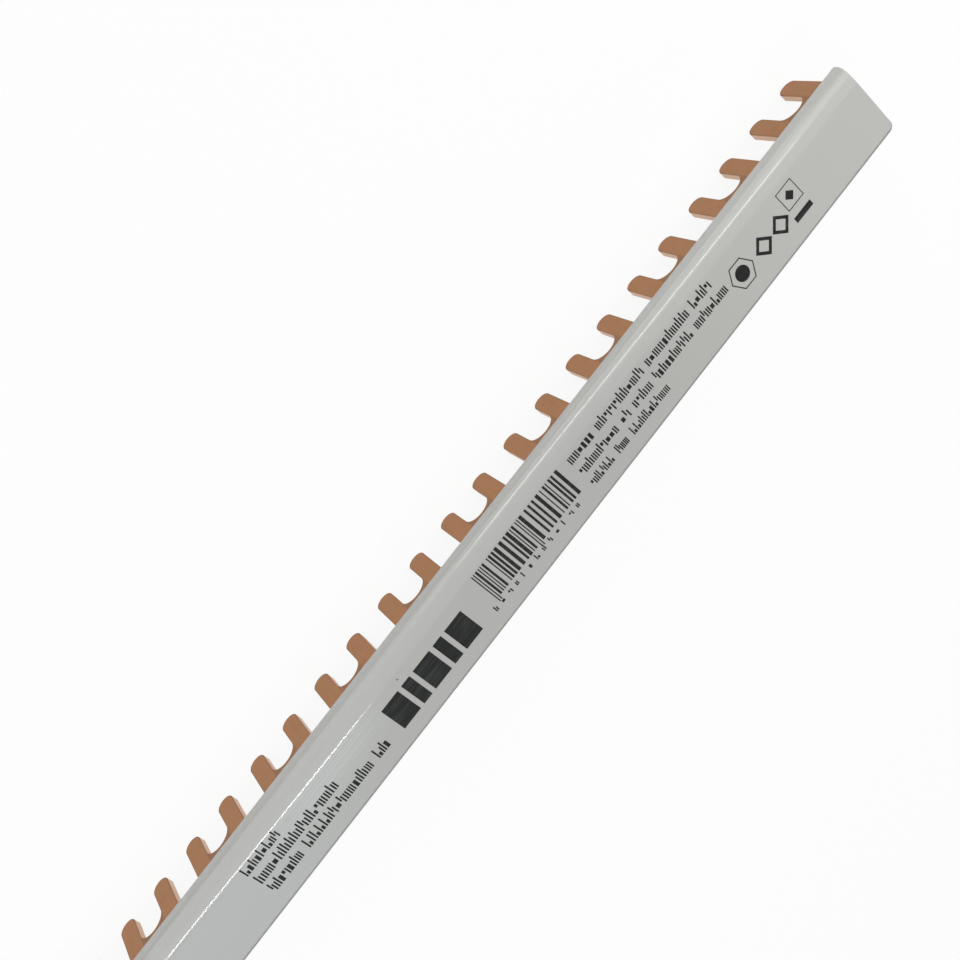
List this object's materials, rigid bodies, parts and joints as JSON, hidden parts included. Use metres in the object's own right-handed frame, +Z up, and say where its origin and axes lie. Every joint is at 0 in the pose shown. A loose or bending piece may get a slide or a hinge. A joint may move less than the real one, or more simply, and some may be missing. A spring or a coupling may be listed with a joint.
{
  "type": "comb busbar",
  "caption": "Fork-type comb busbar: a stamped, bent copper comb in a grey plastic channel, linking the screw terminals of a row of modular breakers.",
  "frame": {"origin": "centre of the first fork's slot, midway through the copper, on the first terminal screw's axis", "axes": "+X along the row towards the last fork, +Z up out of the printed face, +Y from the forks' plane across the housing to its far wall"},
  "size_m": [0.2128, 0.0153, 0.0158],
  "materials": {
    "grey_plastic": "extruded light grey plastic, softly glossy, with fine lines along its length",
    "copper": "stamped bare copper, matte faces with darker rims and paler sheared edges"
  },
  "bodies": {
    "root": {"housing": "grey_plastic", "copper_comb": "copper"}
  },
  "joints": []
}
